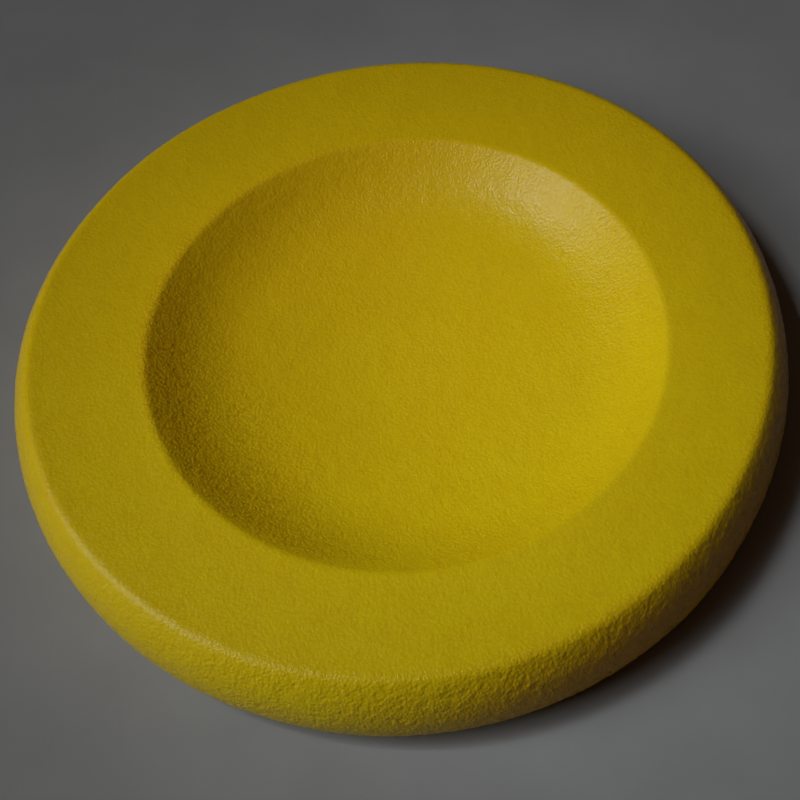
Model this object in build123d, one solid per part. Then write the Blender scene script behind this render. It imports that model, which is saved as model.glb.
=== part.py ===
from build123d import *
import math
import os

# Soft foam flying disc, lying with its finger recess facing up.
# +Z up, origin on the flat base under the centre. Millimetres and degrees.

# Overall size
DISC_RADIUS = 122.5
DISC_THICKNESS = 30.0
COAT_THICKNESS = 0.5

# Outer side of the disc, from the rim down to the base
RIM_EDGE_RADIUS = 3.2
RIM_EDGE_END_ANGLE = 44.0
SIDE_RADIUS = 24.5
BASE_EDGE_RADIUS = 10.0

# Finger recess in the upper face
RECESS_RADIUS = 81.5
RECESS_DEPTH = 15.7
RECESS_LIP_RADIUS = 3.0
RECESS_WALL_SLOPE = 32.0
RECESS_BLEND_RADIUS = 51.0
RECESS_FLOOR_EDGE_SLOPE = 8.0


def on_circle(centre, radius, angle):
    """The point of the X-Z plane at an angle above +X round a centre."""
    turn = math.radians(angle)
    return (centre[0] + radius * math.cos(turn), centre[1] + radius * math.sin(turn))


def side_centres():
    """Centres of the rim edge, the side and the base edge, and the base edge's angle."""
    reach = SIDE_RADIUS - RIM_EDGE_RADIUS
    rise = reach * math.sin(math.radians(RIM_EDGE_END_ANGLE))
    side = (DISC_RADIUS - SIDE_RADIUS, DISC_THICKNESS - RIM_EDGE_RADIUS - rise)
    rim_edge = on_circle(side, reach, RIM_EDGE_END_ANGLE)
    drop = side[1] - BASE_EDGE_RADIUS
    base_angle = -math.degrees(math.asin(drop / (SIDE_RADIUS - BASE_EDGE_RADIUS)))
    base_edge = on_circle(side, SIDE_RADIUS - BASE_EDGE_RADIUS, base_angle)
    return rim_edge, side, base_edge, base_angle


def recess_centres():
    """Centres of the lip, the blend and the floor of the recess, and the floor's radius."""
    slope = math.radians(RECESS_WALL_SLOPE)
    floor_edge = math.radians(RECESS_FLOOR_EDGE_SLOPE)
    lip = (RECESS_RADIUS, DISC_THICKNESS - RECESS_LIP_RADIUS)
    wall_top = on_circle(lip, RECESS_LIP_RADIUS, 90 + RECESS_WALL_SLOPE)
    floor_height = DISC_THICKNESS - RECESS_DEPTH
    blend_width = RECESS_BLEND_RADIUS * (math.sin(slope) - math.sin(floor_edge))
    blend_drop = RECESS_BLEND_RADIUS * (math.cos(floor_edge) - math.cos(slope))
    # The straight wall is as long as it takes the floor to meet the axis at the depth.
    half = math.tan(floor_edge / 2)
    spare_drop = wall_top[1] - blend_drop - floor_height - (wall_top[0] - blend_width) * half
    wall_length = spare_drop / (math.sin(slope) - math.cos(slope) * half)
    wall_foot = (
        wall_top[0] - wall_length * math.cos(slope),
        wall_top[1] - wall_length * math.sin(slope),
    )
    blend = on_circle(wall_foot, RECESS_BLEND_RADIUS, 90 + RECESS_WALL_SLOPE)
    floor_radius = (wall_foot[0] - blend_width) / math.sin(floor_edge)
    floor = (0.0, floor_height + floor_radius)
    return lip, blend, floor, floor_radius


def disc_section(inset):
    """Half of the disc's section, right of the axis, moved inwards by an inset."""
    rim_edge, side, base_edge, base_angle = side_centres()
    lip, blend, floor, floor_radius = recess_centres()
    wall_angle = 90 + RECESS_WALL_SLOPE
    blend_end = RECESS_FLOOR_EDGE_SLOPE - 90
    base_arc = CenterArc(base_edge, BASE_EDGE_RADIUS - inset, -90, 90 + base_angle)
    side_arc = CenterArc(side, SIDE_RADIUS - inset, base_angle, RIM_EDGE_END_ANGLE - base_angle)
    rim_arc = CenterArc(
        rim_edge, RIM_EDGE_RADIUS - inset, RIM_EDGE_END_ANGLE, 90 - RIM_EDGE_END_ANGLE
    )
    lip_arc = CenterArc(lip, RECESS_LIP_RADIUS - inset, 90, RECESS_WALL_SLOPE)
    blend_arc = CenterArc(
        blend, RECESS_BLEND_RADIUS + inset, wall_angle - 180, blend_end - (wall_angle - 180)
    )
    floor_arc = CenterArc(floor, floor_radius + inset, blend_end, -RECESS_FLOOR_EDGE_SLOPE)
    base_centre = (0.0, inset)
    outline = [
        Line(base_centre, base_arc @ 0),
        base_arc,
        side_arc,
        rim_arc,
        Line(rim_arc @ 1, lip_arc @ 0),
        lip_arc,
        Line(lip_arc @ 1, blend_arc @ 0),
        blend_arc,
        floor_arc,
        Line(floor_arc @ 1, base_centre),
    ]
    return Plane.XZ * make_face(outline)


def disc_body(inset):
    """The whole disc turned about its axis, inset from its outer surface."""
    return revolve(disc_section(inset), Axis.Z)


def make_foam_core():
    """Moulded soft foam body that fills the coat."""
    return disc_body(COAT_THICKNESS)


def make_coated_skin():
    """One seamless elastic coat that covers the foam all over."""
    return disc_body(0.0) - disc_body(COAT_THICKNESS)


def write_part(node, shape):
    """Write one node's solid to its own file."""
    shape.label = node
    export_step(shape, "parts/" + node + ".step")
    print(node, "volume", round(shape.volume), "mm3, size", shape.bounding_box().size)


os.makedirs("parts", exist_ok=True)
write_part("foam_core", make_foam_core())
write_part("coated_skin", make_coated_skin())
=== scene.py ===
import math

import bpy
import numpy as np
from mathutils import Matrix, Vector, noise


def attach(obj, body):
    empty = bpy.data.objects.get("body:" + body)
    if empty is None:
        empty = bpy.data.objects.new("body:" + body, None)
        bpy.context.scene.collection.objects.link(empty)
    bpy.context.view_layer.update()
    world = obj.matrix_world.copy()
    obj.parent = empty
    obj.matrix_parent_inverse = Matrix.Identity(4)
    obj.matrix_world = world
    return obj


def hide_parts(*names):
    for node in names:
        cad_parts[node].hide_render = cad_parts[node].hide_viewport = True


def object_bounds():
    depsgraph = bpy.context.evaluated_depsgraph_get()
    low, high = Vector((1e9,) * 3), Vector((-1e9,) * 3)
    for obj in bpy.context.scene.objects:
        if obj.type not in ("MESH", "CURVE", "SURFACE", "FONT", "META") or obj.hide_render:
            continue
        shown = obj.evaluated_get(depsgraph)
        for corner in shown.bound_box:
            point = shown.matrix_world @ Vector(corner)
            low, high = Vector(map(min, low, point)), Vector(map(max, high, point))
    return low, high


# Looks of the soft foam flying disc: a moulded foam body inside a seamless, wrinkled elastic coat.
# Metres and degrees, in the CAD frame: +Z up, origin on the base under the centre.
# An azimuth is a direction from the centre, in degrees round from +X.

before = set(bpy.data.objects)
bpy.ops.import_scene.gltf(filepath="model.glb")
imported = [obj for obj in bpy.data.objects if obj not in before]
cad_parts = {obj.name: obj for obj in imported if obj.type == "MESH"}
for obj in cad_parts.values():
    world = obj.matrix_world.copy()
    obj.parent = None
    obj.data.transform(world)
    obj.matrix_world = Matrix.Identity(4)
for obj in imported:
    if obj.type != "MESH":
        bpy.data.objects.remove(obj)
cad_low, cad_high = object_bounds()

MM = 0.001
DISC_RADIUS = (cad_high.x - cad_low.x) / 2
DISC_THICKNESS = cad_high.z - cad_low.z

# The foam starts at the coat's inside face
COAT_THICKNESS = 0.5 * MM

# Outer side, from the rim down to the base
RIM_EDGE_RADIUS = 3.2 * MM
RIM_EDGE_END_ANGLE = 43.0
SIDE_RADIUS = 24.5 * MM
BASE_EDGE_RADIUS = 10.0 * MM

# Finger recess in the upper face
RECESS_RADIUS = 81.5 * MM
RECESS_DEPTH = 15.7 * MM
RECESS_LIP_RADIUS = 2.2 * MM
RECESS_WALL_SLOPE = 32.0
RECESS_BLEND_RADIUS = 51.0 * MM
RECESS_FLOOR_EDGE_SLOPE = 8.0

# Distance between points along each arc of the outline, and the fewest points of an arc
ARC_STEP = 0.05 * MM
ARC_LEAST_POINTS = 12

# Triangle size on the coat's upper face, side, lower side and base, and on the foam
TOP_SPACING = 1.2 * MM
SIDE_SPACING = 0.84 * MM
UNDER_SPACING = 1.3 * MM
BASE_SPACING = 3.0 * MM
FOAM_SPACING = 2.2 * MM
RING_LEAST_POINTS = 6
ROW_HEIGHT = math.sqrt(3) / 2  # of an even triangle, as a share of its side

# How far up the coat's normal points, down to which it is upper face, side or lower side
TOP_FACING = 0.85
SIDE_FACING = -0.45
UNDER_FACING = -0.97

# Hand-made unevenness: the recess lies a little off centre. Its offset is full inside the rim,
# fades to nothing near the outer edge, and leaves the base alone
RECESS_OFFSET = (2.4 * MM, -2.6 * MM)
OFFSET_MARGIN = 14 * MM
OFFSET_FADE = 26 * MM
OFFSET_FROM_HEIGHT = 0.3  # as a share of the thickness

# The outline isn't quite round: number of lobes, height of each, azimuth of the first
OUTLINE_LOBES = ((2, 0.49 * MM, 31.9), (3, 0.70 * MM, 38.7))
LOBES_START = 85 * MM
LOBES_FADE = 30 * MM

# The rim leans out to the right: not at all on the left, by all of this on the right, with the
# change spread over a width, and only above half the thickness
RIM_LEAN = 1.0 * MM
LEAN_START = 84 * MM
LEAN_FADE = 18 * MM
LEAN_WIDTH = 120 * MM
LEAN_FROM_HEIGHT = 0.5  # as a share of the thickness

# Azimuths towards which the coat's relief and colour change
ROUGHEST_AZIMUTH = -68.0
SHADED_SIDE_AZIMUTH = -28.0
SHADED_WALL_AZIMUTH = 125.0
BACK_AZIMUTH = 97.0
SMOOTHEST_AZIMUTH = 45.0
GRAINIEST_AZIMUTH = 200.0

# Relief of the coat's mesh: size and height of each kind of bump
SWELL_SIZE, SWELL_HEIGHT = 46 * MM, 0.35 * MM
LUMP_SIZE, LUMP_HEIGHT = 6.5 * MM, 0.05 * MM
DOME_SIZE, DOME_HEIGHT = 1.9 * MM, 0.14 * MM
RIPPLE_SIZE, RIPPLE_HEIGHT = 1.5 * MM, 0.08 * MM
FINE_SIZE, FINE_HEIGHT, FINE_IN_RECESS = 2.6 * MM, 0.06 * MM, 0.04 * MM
LUMP_SHIFT = Vector((7, 3, 1))
FINE_SHIFT = Vector((2, 9, 4))
DOME_STEEPNESS = 1.9

# Where the relief of the side lies, by how far up the normal points and by the reach from the
# axis, and how rough it is: the least, the rise towards the front, and patches of more and less
SIDE_TOP_FACING = (0.62, 0.99)
SIDE_FOOT_FACING = (-0.75, -0.1)
BASE_FACING = (0.9, 1.0)
SIDE_REACH = (90 * MM, 112 * MM)
RECESS_REACH = (70 * MM, 84 * MM)
ROUGH_LEAST = 0.3
ROUGH_RISE = 0.3
ROUGH_PATCHES, ROUGH_PATCH_SIZE = 0.4, 17 * MM
RIPPLE_LEAST = 0.2

# Relief of the foam's mesh, and its gap to the coat's inside face
DIMPLE_SIZE, DIMPLE_HEIGHT = 5 * MM, 0.12 * MM
FOAM_GAP = 0.65 * MM

# Grain in the coat's material. A noise is given by size, detail and roughness
GRAIN = (0.75 * MM, 3.0, 0.65)
GRAIN_SHARE = 0.5
PEEL_SIZE = 1.0 * MM
PEEL_SMOOTHNESS = 0.5
PEEL_SHARE = -0.5
WRINKLES = (0.9 * MM, 2.0, 0.55)
WRINKLE_LENGTH = 0.35  # scale of the wrinkles' pattern along the radius
GRAIN_DEPTH = 0.17 * MM

# Places and strengths in the coat's material. Each is a range of distances, heights or noise,
# and then the two values that the ends of the range are mapped to
WRINKLES_BY_REACH = (25 * MM, 60 * MM, 0.0, 0.35)
RECESS_BY_REACH = (RECESS_RADIUS - 4 * MM, RECESS_RADIUS, 1.0, 0.0)
RECESS_BY_HEIGHT = (5 * MM, 10 * MM, 0.0, 1.0)
SIDE_BY_REACH = (111.5 * MM, 117.5 * MM, 0.0, 1.0)
GRAIN_NEAR_SMOOTHEST = (18 * MM, 50 * MM, -0.2, 0.4)
GRAIN_TOWARDS_LEFT = (38 * MM, 72 * MM, 0.0, 1.5)
GRAIN_TOWARDS_FRONT = (0 * MM, 75 * MM, 0.1, 1.7)
BACK_BY_DISTANCE = (-100 * MM, 60 * MM, 0.0, 1.0)
AMBER_BY_MOTTLE = (0.35, 0.7, 0.0, 0.35)
SHADED_WALL_BY_DISTANCE = (15 * MM, 60 * MM, 0.0, 0.45)
CREVICE_SHADE_BY_HEIGHT = (-0.1, 0.4, 0.4, 0.0)
SHADED_SIDE_BY_DISTANCE = (35 * MM, 95 * MM, 0.0, 1.0)
SIDE_SHADE_BY_HEIGHT = (19 * MM, 30 * MM, 0.9, 0.25)
ROUGHNESS_BY_PATCH = (0.3, 0.7, 0.25, 0.32)

# The smoothest place on the recess wall, by its reach and height
SMOOTHEST_REACH = 60 * MM
SMOOTHEST_HEIGHT = 20 * MM

# Colours and gloss of the coat
MOTTLE = (14 * MM, 3.0, 0.6)
FRONT_LEMON = (0.785, 0.575, 0.005, 1)
BACK_LEMON = (0.81, 0.542, 0.005, 1)
AMBER = (0.75, 0.465, 0.004, 1)
# Painted shade: the deeper yellow of the recess wall that faces away from the key light
SHADED_WALL_YELLOW = (0.87, 0.48, 0.004, 1)
# Painted shade: brown for the crevices of the grain
CREVICE_SHADE_BROWN = (0.55, 0.24, 0.004, 1)
# Painted shade: orange for the low side that faces away from the key light
SIDE_SHADE_ORANGE = (0.74, 0.35, 0.003, 1)
CREVICE_SHADE, CREVICE_SHADE_ON_LEFT_WALL, CREVICE_SHADE_ON_SHADED_SIDE = 0.6, 1.2, 0.9
CREVICE_SHADE_MOST = 0.9
GLOSS_PATCH_SIZE = 5 * MM
COAT_IOR = 1.46
COAT_SPECULAR = 0.21

# Foam: open cells with paler walls, and painted shade in the cell hollows
CELL_SIZE = 0.9 * MM
WALL_BY_EDGE = (0.0, 0.3, 1.0, 0.0)
FOAM_CREAM = (0.80, 0.66, 0.22, 1)
FOAM_SHADE = (0.50, 0.36, 0.08, 1)
CELL_STRENGTH = 0.8
CELL_DEPTH = 0.3 * MM
ROUGHNESS_BY_WALL = (0.0, 1.0, 0.9, 0.98)

# Camera, round the centre of the rim plane
CAMERA_ELEVATION = 54.57
CAMERA_DISTANCE = 0.469
CAMERA_PAN = 1.64
CAMERA_TILT = -2.90
CAMERA_ROLL = -8.31
CAMERA_LENS = 67.9
CAMERA_SENSOR = 36
CAMERA_SHIFT = (-0.0625, 0.0)
CAMERA_CLIP_START = 0.01

# Key light: a tall soft panel on the left, aimed past the disc so that its far left is dimmer
KEY_AZIMUTH = 190.0
KEY_ELEVATION = 40.0
KEY_DISTANCE = 3.0
KEY_AIM = Vector((0.5, -0.6, 0.0))
KEY_SPREAD = 70.0
KEY_SIZE = (1.8, 3.0)
KEY_POWER = 11.4
KEY_COLOUR = (0.92, 1.0, 1.03)

# Bank of narrow soft spots above the key, which makes the middle of the disc the brightest
SPOT_AZIMUTH = 176.0
SPOT_ELEVATION = 60.0
SPOT_AIM = Vector((0.013, -0.018, 0.03))
SPOT_WIDTH = 5.4
SPOT_SOFTNESS = 0.09
SPOT_POWER = 20.0
SPOT_ROWS = 3
SPOT_GAP = 0.2
SPOT_SPREAD = 0.055

# Fill light: a warm dim panel overhead, and a little light from everywhere
FILL_HEIGHT = 1.6
FILL_SIZE = 2.0
FILL_POWER = 0.8
FILL_COLOUR = (1.0, 0.6, 0.34)
WORLD_COLOUR = (0.009, 0.005, 0.0025, 1)

# Floor of pale matte paper, a hair below the base
FLOOR_TONES = ((0.285, 0.276, 0.278, 1), (0.315, 0.306, 0.308, 1))
FLOOR_MOTTLE = (30 * MM, 4.0)
FLOOR_TONE_BY_MOTTLE = (0.3, 0.7, 0.0, 1.0)
FLOOR_ROUGHNESS = 0.85
FLOOR_HALF_WIDTH = 2.5
FLOOR_GAP = 0.1 * MM


# ---------- outline of the disc ----------

def on_circle(centre, radius, angle):
    """The point of the radius-height plane at an angle above outwards round a centre."""
    turn = math.radians(angle)
    return (centre[0] + radius * math.cos(turn), centre[1] + radius * math.sin(turn))


def arc_points(centre, radius, start, end, bulges=True):
    """Points and normals along an arc: rows of radius, height, normal out, normal up."""
    length = abs(end - start) * math.pi / 180 * radius
    count = max(ARC_LEAST_POINTS, int(length / ARC_STEP))
    angles = np.radians(np.linspace(start, end, count))
    out, up = np.cos(angles), np.sin(angles)
    side = 1.0 if bulges else -1.0
    return np.stack(
        [centre[0] + radius * out, centre[1] + radius * up, side * out, side * up], axis=1
    )


def disc_outline():
    """The half outline from the recess's centre, over the rim and down to the base's centre."""
    # Outer side
    reach = SIDE_RADIUS - RIM_EDGE_RADIUS
    rise = reach * math.sin(math.radians(RIM_EDGE_END_ANGLE))
    side = (DISC_RADIUS - SIDE_RADIUS, DISC_THICKNESS - RIM_EDGE_RADIUS - rise)
    rim_edge = on_circle(side, reach, RIM_EDGE_END_ANGLE)
    base_reach = SIDE_RADIUS - BASE_EDGE_RADIUS
    base_angle = -math.degrees(math.asin((side[1] - BASE_EDGE_RADIUS) / base_reach))
    base_edge = on_circle(side, base_reach, base_angle)
    # Recess
    slope = math.radians(RECESS_WALL_SLOPE)
    floor_edge = math.radians(RECESS_FLOOR_EDGE_SLOPE)
    lip = (RECESS_RADIUS, DISC_THICKNESS - RECESS_LIP_RADIUS)
    wall_top = on_circle(lip, RECESS_LIP_RADIUS, 90 + RECESS_WALL_SLOPE)
    floor_height = DISC_THICKNESS - RECESS_DEPTH
    blend_width = RECESS_BLEND_RADIUS * (math.sin(slope) - math.sin(floor_edge))
    blend_drop = RECESS_BLEND_RADIUS * (math.cos(floor_edge) - math.cos(slope))
    half = math.tan(floor_edge / 2)
    spare_drop = wall_top[1] - blend_drop - floor_height - (wall_top[0] - blend_width) * half
    wall_length = spare_drop / (math.sin(slope) - math.cos(slope) * half)
    wall_foot = (
        wall_top[0] - wall_length * math.cos(slope),
        wall_top[1] - wall_length * math.sin(slope),
    )
    blend = on_circle(wall_foot, RECESS_BLEND_RADIUS, 90 + RECESS_WALL_SLOPE)
    floor_radius = (wall_foot[0] - blend_width) / math.sin(floor_edge)
    floor = (0.0, floor_height + floor_radius)
    floor_end = RECESS_FLOOR_EDGE_SLOPE - 90
    blend_end = RECESS_WALL_SLOPE - 90
    return np.concatenate([
        arc_points(floor, floor_radius, -90, floor_end, bulges=False),
        arc_points(blend, RECESS_BLEND_RADIUS, floor_end, blend_end, bulges=False),
        arc_points(lip, RECESS_LIP_RADIUS, 90 + RECESS_WALL_SLOPE, 90),
        arc_points(rim_edge, RIM_EDGE_RADIUS, 90, RIM_EDGE_END_ANGLE),
        arc_points(side, SIDE_RADIUS, RIM_EDGE_END_ANGLE, base_angle),
        arc_points(base_edge, BASE_EDGE_RADIUS, base_angle, -90),
        np.array([[0.0, 0.0, 0.0, -1.0]]),
    ])


# ---------- round meshes of even triangles ----------

def ease(share):
    """A share from 0 to 1, with a smooth start and end."""
    return share * share * (3 - 2 * share)


def ring_rows(outline, inset, spacing_at):
    """Radius, height and normal of each ring, spaced along the outline for even triangles."""
    rows = outline.copy()
    rows[:, :2] -= inset * rows[:, 2:]
    rows[0, 0] = 0.0
    rows[-1, 0] = 0.0
    steps = np.hypot(np.diff(rows[:, 0]), np.diff(rows[:, 1]))
    along = np.concatenate([[0.0], np.cumsum(steps)])
    stops = [0.0]
    while stops[-1] < along[-1]:
        here = stops[-1]
        normal_up = np.interp(here, along, rows[:, 3])
        stops.append(here + spacing_at(normal_up) * ROW_HEIGHT)
    stops = np.array(stops) * along[-1] / stops[-1]
    rings = np.stack([np.interp(stops, along, rows[:, i]) for i in range(4)], axis=1)
    rings[:, 2:] /= np.hypot(rings[:, 2], rings[:, 3])[:, None]
    return rings


def zip_rings(first, first_angles, second, second_angles):
    """Triangles between two neighbouring rings, each given by its first vertex and its angles."""
    faces = []
    i, j = 0, 0
    n, m = len(first_angles), len(second_angles)
    while i < n or j < m:
        after_first = first_angles[(i + 1) % n] + 2 * math.pi * ((i + 1) // n)
        after_second = second_angles[(j + 1) % m] + 2 * math.pi * ((j + 1) // m)
        move_first = i < n and n > 1 and (j >= m or m == 1 or after_first <= after_second)
        if move_first:
            faces.append((first + i % n, second + j % m, first + (i + 1) % n))
            i += 1
        elif j < m and m > 1:
            faces.append((first + i % n, second + j % m, second + (j + 1) % m))
            j += 1
        else:
            break
    return faces


def make_uneven(points):
    """Shift the recess off centre, give the outline its lobes and let the right rim lean to +X."""
    reach = np.hypot(points[:, 0], points[:, 1])
    turn = np.arctan2(points[:, 1], points[:, 0])
    above = np.clip(points[:, 2] / DISC_THICKNESS, 0, 1)
    held = np.clip((DISC_RADIUS - OFFSET_MARGIN - reach) / OFFSET_FADE, 0, 1)
    held = ease(held) * (above > OFFSET_FROM_HEIGHT)
    points[:, 0] += RECESS_OFFSET[0] * held
    points[:, 1] += RECESS_OFFSET[1] * held
    outer = np.clip((reach - LOBES_START) / LOBES_FADE, 0, 1)
    lobes = sum(size * np.cos(n * (turn - math.radians(peak))) for n, size, peak in OUTLINE_LOBES)
    swell = ease(outer) * lobes / np.maximum(reach, MM)
    points[:, 0] *= 1 + swell
    points[:, 1] *= 1 + swell
    high = np.clip((above - LEAN_FROM_HEIGHT) / (1 - LEAN_FROM_HEIGHT), 0, 1)
    rim = np.clip((reach - LEAN_START) / LEAN_FADE, 0, 1)
    right = np.clip(0.5 + points[:, 0] / LEAN_WIDTH, 0, 1)
    points[:, 0] += RIM_LEAN * right * ease(high) * ease(rim)


def round_mesh(name, rings, spacing_at, displace):
    """A closed mesh turned from rings, with each vertex moved along its normal."""
    points, normals, faces = [], [], []
    before = None
    for k, (radius, height, out, up) in enumerate(rings):
        pole = k == 0 or k == len(rings) - 1
        count = max(RING_LEAST_POINTS, round(2 * math.pi * radius / spacing_at(up)))
        if pole:
            count = 1
        start = 0.5 * (k % 2) * 2 * math.pi / count
        angles = start + np.arange(count) * 2 * math.pi / count
        first = len(points)
        for angle in angles:
            c, s = math.cos(angle), math.sin(angle)
            points.append((0.0, 0.0, height) if pole else (radius * c, radius * s, height))
            normals.append((0.0, 0.0, up) if pole else (out * c, out * s, up))
        if before is not None:
            faces += zip_rings(before[0], before[1], first, angles)
        before = (first, angles)
    points = np.array(points)
    normals = np.array(normals)
    offsets = np.array([displace(Vector(p), Vector(n)) for p, n in zip(points, normals)])
    points += normals * offsets[:, None]
    make_uneven(points)
    mesh = bpy.data.meshes.new(name)
    mesh.from_pydata(points.tolist(), [], faces)
    mesh.shade_smooth()
    mesh.validate()
    piece = bpy.data.objects.new(name, mesh)
    bpy.context.scene.collection.objects.link(piece)
    return piece


def coat_spacing(normal_up):
    """Triangle size by how a surface faces: finest on the pebbled side, coarse on the base."""
    if normal_up > TOP_FACING:
        return TOP_SPACING
    if normal_up > SIDE_FACING:
        return SIDE_SPACING
    if normal_up > UNDER_FACING:
        return UNDER_SPACING
    return BASE_SPACING


def foam_spacing(normal_up):
    """One even triangle size for the foam body."""
    return FOAM_SPACING


# ---------- surface relief ----------

def smooth_step(value, low, high):
    """0 below low, 1 above high, and a smooth rise between them."""
    return ease(min(max((value - low) / (high - low), 0.0), 1.0))


def pebbles(point, size):
    """Domes packed side by side, from 0 in the valleys to 1 on top."""
    nearest = noise.voronoi(point / size)[0][0]
    return max(0.0, 1.0 - nearest * nearest * DOME_STEEPNESS)


def coat_relief(point, normal):
    """How far the coat stands off its mean surface, in metres."""
    reach = math.hypot(point.x, point.y)
    side = 1.0 - smooth_step(normal.z, *SIDE_TOP_FACING)
    side *= smooth_step(reach, *SIDE_REACH)
    side *= smooth_step(normal.z, *SIDE_FOOT_FACING)
    base = smooth_step(-normal.z, *BASE_FACING)
    recess = 1.0 - smooth_step(reach, *RECESS_REACH)
    turn = math.atan2(point.y, point.x) - math.radians(ROUGHEST_AZIMUTH)
    patches = ROUGH_PATCHES * noise.noise(point / ROUGH_PATCH_SIZE)
    roughness = ROUGH_LEAST + ROUGH_RISE * (1 + math.cos(turn)) ** 2 + patches
    swell = noise.noise(point / SWELL_SIZE) * SWELL_HEIGHT * (1.0 - base)
    lumps = noise.noise(point / LUMP_SIZE + LUMP_SHIFT) * LUMP_HEIGHT
    domes = (pebbles(point, DOME_SIZE) - 0.5) * DOME_HEIGHT * roughness
    ripples = noise.noise(point / RIPPLE_SIZE) * RIPPLE_HEIGHT * (RIPPLE_LEAST + roughness)
    fine_height = FINE_HEIGHT + FINE_IN_RECESS * recess
    fine = noise.noise(point / FINE_SIZE + FINE_SHIFT) * fine_height
    return swell + lumps + side * (domes + ripples) + fine


def foam_relief(point, normal):
    """Dimples of the moulded foam, kept inside the coat."""
    return noise.noise(point / DIMPLE_SIZE) * DIMPLE_HEIGHT - FOAM_GAP


# ---------- materials ----------

def new_material(name):
    """A node material with its Principled shader and links."""
    material = bpy.data.materials.new(name)
    material.use_nodes = True
    shader = material.node_tree.nodes["Principled BSDF"]
    return material, material.node_tree, shader


def add_node(tree, kind, settings=None, **inputs):
    """A node with properties set, and its inputs set or linked by name, or by number as i0, i1."""
    node = tree.nodes.new(kind)
    for key, value in (settings or {}).items():
        setattr(node, key, value)
    for key, value in inputs.items():
        numbered = key[0] == "i" and key[1:].isdigit()
        socket = node.inputs[int(key[1:]) if numbered else key]
        if isinstance(value, bpy.types.NodeSocket):
            tree.links.new(value, socket)
        else:
            socket.default_value = value
    return node


def maths(tree, operation, first, second=0.0, third=0.0):
    """The result of a Math node."""
    node = add_node(tree, "ShaderNodeMath", {"operation": operation}, i0=first, i1=second, i2=third)
    return node.outputs[0]


def noise_at(tree, vector, size, detail=2.0, roughness=0.5):
    """Noise with features of about a size in metres, from 0 to 1."""
    node = add_node(
        tree, "ShaderNodeTexNoise",
        Vector=vector, Scale=1 / size, Detail=detail, Roughness=roughness,
    )
    return node.outputs["Fac"]


def map_range(tree, value, ranges):
    """A value moved from the range of the first two numbers to that of the last two."""
    low, high, to_low, to_high = ranges
    node = add_node(
        tree, "ShaderNodeMapRange", i0=value, i1=low, i2=high, i3=to_low, i4=to_high
    )
    return node.outputs[0]


def mix_colour(tree, factor, first, second):
    """Two colours mixed by a factor. Inputs 6 and 7 are the Mix node's colours."""
    node = add_node(tree, "ShaderNodeMix", {"data_type": "RGBA"}, i0=factor, i6=first, i7=second)
    return node.outputs[2]


def radial_coordinates(tree, position):
    """The reach from the axis, and coordinates that change fast round the disc, slowly outwards."""
    parts = add_node(tree, "ShaderNodeSeparateXYZ", i0=position)
    flat = add_node(tree, "ShaderNodeCombineXYZ", i0=parts.outputs[0], i1=parts.outputs[1])
    length = add_node(tree, "ShaderNodeVectorMath", {"operation": "LENGTH"}, i0=flat.outputs[0])
    unit = add_node(tree, "ShaderNodeVectorMath", {"operation": "NORMALIZE"}, i0=flat.outputs[0])
    around = add_node(tree, "ShaderNodeVectorMath", {"operation": "SCALE"}, i0=unit.outputs[0])
    around.inputs["Scale"].default_value = RECESS_RADIUS
    slow = maths(tree, "MULTIPLY", length.outputs["Value"], WRINKLE_LENGTH)
    lift = add_node(tree, "ShaderNodeCombineXYZ", i2=slow)
    total = add_node(
        tree, "ShaderNodeVectorMath", {"operation": "ADD"}, i0=around.outputs[0], i1=lift.outputs[0]
    )
    return length.outputs["Value"], total.outputs[0]


def distance_towards(tree, position, azimuth):
    """How far a point lies from the axis towards an azimuth, in metres."""
    turn = math.radians(azimuth)
    node = add_node(
        tree, "ShaderNodeVectorMath", {"operation": "DOT_PRODUCT"},
        i0=position, i1=(math.cos(turn), math.sin(turn), 0.0),
    )
    return node.outputs["Value"]


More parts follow.
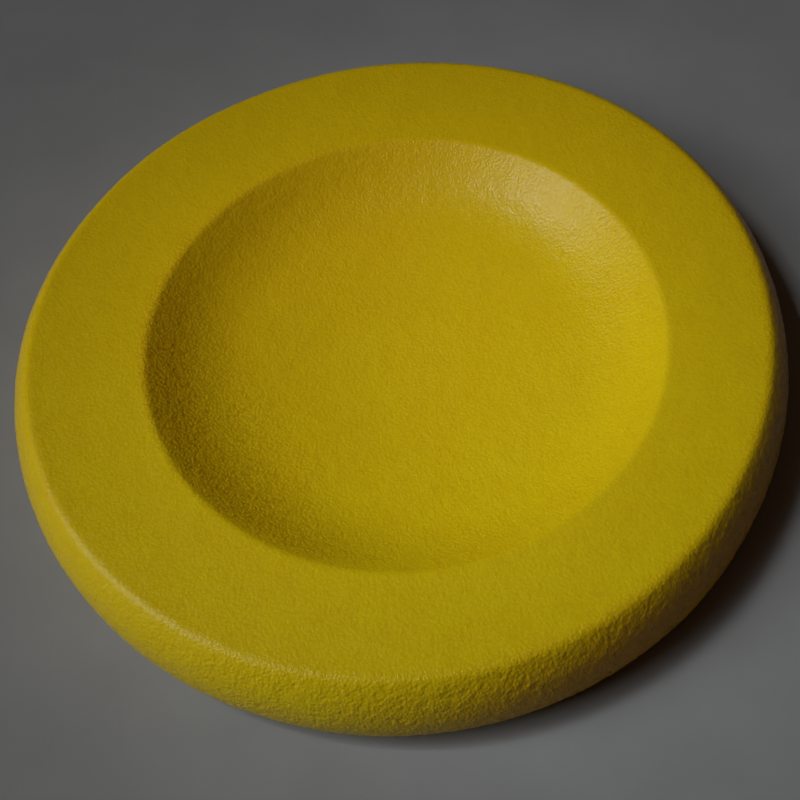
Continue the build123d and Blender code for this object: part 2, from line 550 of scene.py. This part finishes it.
def coat_material():
    """Satin lemon-yellow elastomer with an orange-peel grain."""
    material, tree, shader = new_material("yellow_elastic_coat")
    position = add_node(tree, "ShaderNodeTexCoord").outputs["Object"]
    grain = noise_at(tree, position, *GRAIN)
    peel = add_node(
        tree, "ShaderNodeTexVoronoi", {"feature": "SMOOTH_F1"},
        Vector=position, Scale=1 / PEEL_SIZE, Smoothness=PEEL_SMOOTHNESS,
    ).outputs["Distance"]
    reach, radial = radial_coordinates(tree, position)
    wrinkle = noise_at(tree, radial, *WRINKLES)
    wrinkle = maths(tree, "MULTIPLY", wrinkle, map_range(tree, reach, WRINKLES_BY_REACH))
    peel = maths(tree, "MULTIPLY", peel, PEEL_SHARE)
    height = maths(tree, "MULTIPLY_ADD", grain, GRAIN_SHARE, peel)
    height = maths(tree, "ADD", height, wrinkle)
    # Smooth on one stretch of the recess wall, rougher across from it and on one side
    lift = add_node(tree, "ShaderNodeSeparateXYZ", i0=position).outputs[2]
    in_recess = map_range(tree, reach, RECESS_BY_REACH)
    in_recess = maths(tree, "MULTIPLY", in_recess, map_range(tree, lift, RECESS_BY_HEIGHT))
    turn = math.radians(SMOOTHEST_AZIMUTH)
    smoothest = (
        SMOOTHEST_REACH * math.cos(turn), SMOOTHEST_REACH * math.sin(turn), SMOOTHEST_HEIGHT
    )
    away = add_node(
        tree, "ShaderNodeVectorMath", {"operation": "DISTANCE"}, i0=position, i1=smoothest
    ).outputs["Value"]
    close_by = map_range(tree, away, GRAIN_NEAR_SMOOTHEST)
    across = distance_towards(tree, position, GRAINIEST_AZIMUTH)
    across = map_range(tree, across, GRAIN_TOWARDS_LEFT)
    amount = maths(tree, "MULTIPLY_ADD", in_recess, maths(tree, "ADD", close_by, across), 1.0)
    on_side = map_range(tree, reach, SIDE_BY_REACH)
    side_amount = distance_towards(tree, position, ROUGHEST_AZIMUTH)
    side_amount = map_range(tree, side_amount, GRAIN_TOWARDS_FRONT)
    amount = maths(tree, "MULTIPLY_ADD", on_side, side_amount, amount)
    relief = maths(tree, "MULTIPLY", height, amount)
    bump = add_node(tree, "ShaderNodeBump", Strength=1.0, Distance=GRAIN_DEPTH, Height=relief)
    tree.links.new(bump.outputs[0], shader.inputs["Normal"])

    # The yellow is a little greener at the front than at the back, with patches of amber
    towards_back = distance_towards(tree, position, BACK_AZIMUTH)
    towards_back = map_range(tree, towards_back, BACK_BY_DISTANCE)
    lemon = mix_colour(tree, towards_back, FRONT_LEMON, BACK_LEMON)
    mottle = map_range(tree, noise_at(tree, position, *MOTTLE), AMBER_BY_MOTTLE)
    colour = mix_colour(tree, mottle, lemon, AMBER)
    # Painted shade: a deeper, warmer yellow on the stretch of the recess wall that faces away from
    # the key light
    shaded_wall = distance_towards(tree, position, SHADED_WALL_AZIMUTH)
    shaded_wall = map_range(tree, shaded_wall, SHADED_WALL_BY_DISTANCE)
    shaded_wall = maths(tree, "MULTIPLY", in_recess, shaded_wall)
    colour = mix_colour(tree, shaded_wall, colour, SHADED_WALL_YELLOW)
    # Painted shade: darker in the crevices, most of all on the grainy left recess wall and on the
    # right side, which both face away from the key light
    crevice_shade = map_range(tree, height, CREVICE_SHADE_BY_HEIGHT)
    grainy_shaded_wall = maths(tree, "MULTIPLY", in_recess, across)
    crevice_shade_strength = maths(tree, "MULTIPLY_ADD", grainy_shaded_wall, CREVICE_SHADE_ON_LEFT_WALL, CREVICE_SHADE)
    shaded_side = distance_towards(tree, position, SHADED_SIDE_AZIMUTH)
    shaded_side = map_range(tree, shaded_side, SHADED_SIDE_BY_DISTANCE)
    shaded_side = maths(tree, "MULTIPLY", on_side, shaded_side)
    crevice_shade_strength = maths(tree, "MULTIPLY_ADD", shaded_side, CREVICE_SHADE_ON_SHADED_SIDE, crevice_shade_strength)
    crevice_shade = maths(tree, "MINIMUM", maths(tree, "MULTIPLY", crevice_shade, crevice_shade_strength), CREVICE_SHADE_MOST)
    colour = mix_colour(tree, crevice_shade, colour, CREVICE_SHADE_BROWN)
    # Painted shade: more orange low down on the right side, a little to the front, which faces away
    # from the key light
    side_shade = maths(tree, "MULTIPLY", shaded_side, map_range(tree, lift, SIDE_SHADE_BY_HEIGHT))
    colour = mix_colour(tree, side_shade, colour, SIDE_SHADE_ORANGE)
    tree.links.new(colour, shader.inputs["Base Color"])
    rough = map_range(tree, noise_at(tree, position, GLOSS_PATCH_SIZE), ROUGHNESS_BY_PATCH)
    tree.links.new(rough, shader.inputs["Roughness"])
    shader.inputs["IOR"].default_value = COAT_IOR
    shader.inputs["Specular IOR Level"].default_value = COAT_SPECULAR
    return material


def foam_material():
    """Matte cream foam with open cells."""
    material, tree, shader = new_material("open_cell_foam")
    position = add_node(tree, "ShaderNodeTexCoord").outputs["Object"]
    edges = add_node(
        tree, "ShaderNodeTexVoronoi", {"feature": "DISTANCE_TO_EDGE"},
        Vector=position, Scale=1 / CELL_SIZE,
    ).outputs["Distance"]
    walls = map_range(tree, edges, WALL_BY_EDGE)
    # Painted shade: the cell hollows are darker than the walls
    colour = mix_colour(tree, walls, FOAM_SHADE, FOAM_CREAM)
    tree.links.new(colour, shader.inputs["Base Color"])
    bump = add_node(
        tree, "ShaderNodeBump", Strength=CELL_STRENGTH, Distance=CELL_DEPTH, Height=walls
    )
    tree.links.new(bump.outputs[0], shader.inputs["Normal"])
    tree.links.new(map_range(tree, walls, ROUGHNESS_BY_WALL), shader.inputs["Roughness"])
    return material


def floor_material():
    """Plain pale matte studio paper."""
    material, tree, shader = new_material("pale_paper")
    position = add_node(tree, "ShaderNodeTexCoord").outputs["Object"]
    tone = map_range(tree, noise_at(tree, position, *FLOOR_MOTTLE), FLOOR_TONE_BY_MOTTLE)
    tree.links.new(mix_colour(tree, tone, *FLOOR_TONES), shader.inputs["Base Color"])
    shader.inputs["Roughness"].default_value = FLOOR_ROUGHNESS
    return material


# ---------- pieces ----------

def make_coat(outline):
    """The coat that all of the object's visible surface belongs to."""
    rings = ring_rows(outline, 0.0, coat_spacing)
    coat = round_mesh("elastic_coat", rings, coat_spacing, coat_relief)
    coat.data.materials.append(coat_material())
    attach(coat, "root")
    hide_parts("coated_skin")


def make_foam(outline):
    """The moulded foam body, hidden inside the coat."""
    rings = ring_rows(outline, COAT_THICKNESS, foam_spacing)
    foam = round_mesh("moulded_foam", rings, foam_spacing, foam_relief)
    foam.data.materials.append(foam_material())
    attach(foam, "root")
    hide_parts("foam_core")


# ---------- stage, light and camera ----------

def make_floor():
    """A wide plain floor just under the base."""
    mesh = bpy.data.meshes.new("studio_floor")
    half = FLOOR_HALF_WIDTH
    corners = [(-half, -half, 0), (half, -half, 0), (half, half, 0), (-half, half, 0)]
    mesh.from_pydata(corners, [], [(0, 1, 2, 3)])
    floor = bpy.data.objects.new("studio_floor", mesh)
    bpy.context.scene.collection.objects.link(floor)
    floor.location.z = -FLOOR_GAP
    mesh.materials.append(floor_material())


def make_panel(name, place, aim, size, power, spread=180.0, colour=(1, 1, 1)):
    """A flat soft light panel, aimed at a point."""
    data = bpy.data.lights.new(name, "AREA")
    data.shape = "RECTANGLE"
    data.size, data.size_y = size
    data.energy = power
    data.color = colour
    data.spread = math.radians(spread)
    panel = bpy.data.objects.new(name, data)
    bpy.context.scene.collection.objects.link(panel)
    panel.location = place
    panel.rotation_mode = "QUATERNION"
    panel.rotation_quaternion = (place - aim).to_track_quat("Z", "Y")


def from_direction(azimuth, elevation, distance):
    """The point at a distance from the origin, in a direction given in degrees."""
    around, above = math.radians(azimuth), math.radians(elevation)
    level = distance * math.cos(above)
    return Vector((level * math.cos(around), level * math.sin(around), distance * math.sin(above)))


def make_spot(name, place, aim):
    """A narrow spot with soft borders."""
    data = bpy.data.lights.new(name, "SPOT")
    data.spot_size = math.radians(SPOT_WIDTH)
    data.spot_blend = 1.0
    data.shadow_soft_size = SPOT_SOFTNESS
    data.energy = SPOT_POWER
    data.color = KEY_COLOUR
    spot = bpy.data.objects.new(name, data)
    bpy.context.scene.collection.objects.link(spot)
    spot.location = place
    spot.rotation_mode = "QUATERNION"
    spot.rotation_quaternion = (place - aim).to_track_quat("Z", "Y")


def make_spot_bank():
    """A square bank of spots, which together light an oval from front to back."""
    middle = from_direction(SPOT_AZIMUTH, SPOT_ELEVATION, KEY_DISTANCE)
    facing = (middle - SPOT_AIM).to_track_quat("Z", "Y")
    for row in range(SPOT_ROWS):
        for column in range(SPOT_ROWS):
            across, along = (i - (SPOT_ROWS - 1) / 2 for i in (row, column))
            place = middle + facing @ Vector((across, along, 0)) * SPOT_GAP
            aim = SPOT_AIM + Vector((0, across * SPOT_SPREAD, 0))
            make_spot("spot_%d_%d" % (row, column), place, aim)


def make_lights():
    """A soft key panel and a bank of spots on the left, and a dim warm fill from above."""
    key_place = from_direction(KEY_AZIMUTH, KEY_ELEVATION, KEY_DISTANCE)
    make_panel(
        "key_panel", key_place, KEY_AIM, KEY_SIZE, KEY_POWER, spread=KEY_SPREAD, colour=KEY_COLOUR
    )
    make_spot_bank()
    overhead = Vector((0, 0, FILL_HEIGHT))
    make_panel(
        "fill_panel", overhead, Vector((0, 0, 0)), (FILL_SIZE, FILL_SIZE), FILL_POWER,
        colour=FILL_COLOUR,
    )
    world = bpy.data.worlds.new("surround")
    world.use_nodes = True
    world.node_tree.nodes["Background"].inputs["Color"].default_value = WORLD_COLOUR
    bpy.context.scene.world = world
    bpy.context.scene.view_settings.view_transform = "Standard"


def make_camera():
    """A camera that looks down on the disc from the front, a little tilted."""
    elevation = math.radians(CAMERA_ELEVATION)
    ahead = Vector((0, math.cos(elevation), -math.sin(elevation)))
    right = Vector((1, 0, 0))
    place = Vector((0, 0, DISC_THICKNESS)) - ahead * CAMERA_DISTANCE
    up = right.cross(ahead)
    pan, tilt, roll = (math.radians(a) for a in (CAMERA_PAN, CAMERA_TILT, CAMERA_ROLL))
    ahead, right = (
        ahead * math.cos(pan) + right * math.sin(pan),
        right * math.cos(pan) - ahead * math.sin(pan),
    )
    ahead, up = (
        ahead * math.cos(tilt) + up * math.sin(tilt),
        up * math.cos(tilt) - ahead * math.sin(tilt),
    )
    right, up = (
        right * math.cos(roll) + up * math.sin(roll),
        up * math.cos(roll) - right * math.sin(roll),
    )
    data = bpy.data.cameras.new("camera")
    data.sensor_width = CAMERA_SENSOR
    data.lens = CAMERA_LENS
    data.shift_x, data.shift_y = CAMERA_SHIFT
    data.clip_start = CAMERA_CLIP_START
    camera = bpy.data.objects.new("camera", data)
    bpy.context.scene.collection.objects.link(camera)
    axes = Matrix((right, up, -ahead)).transposed()
    camera.matrix_world = Matrix.Translation(place) @ axes.to_4x4()
    bpy.context.scene.camera = camera


outline = disc_outline()
make_camera()
make_lights()
make_floor()
make_coat(outline)
make_foam(outline)
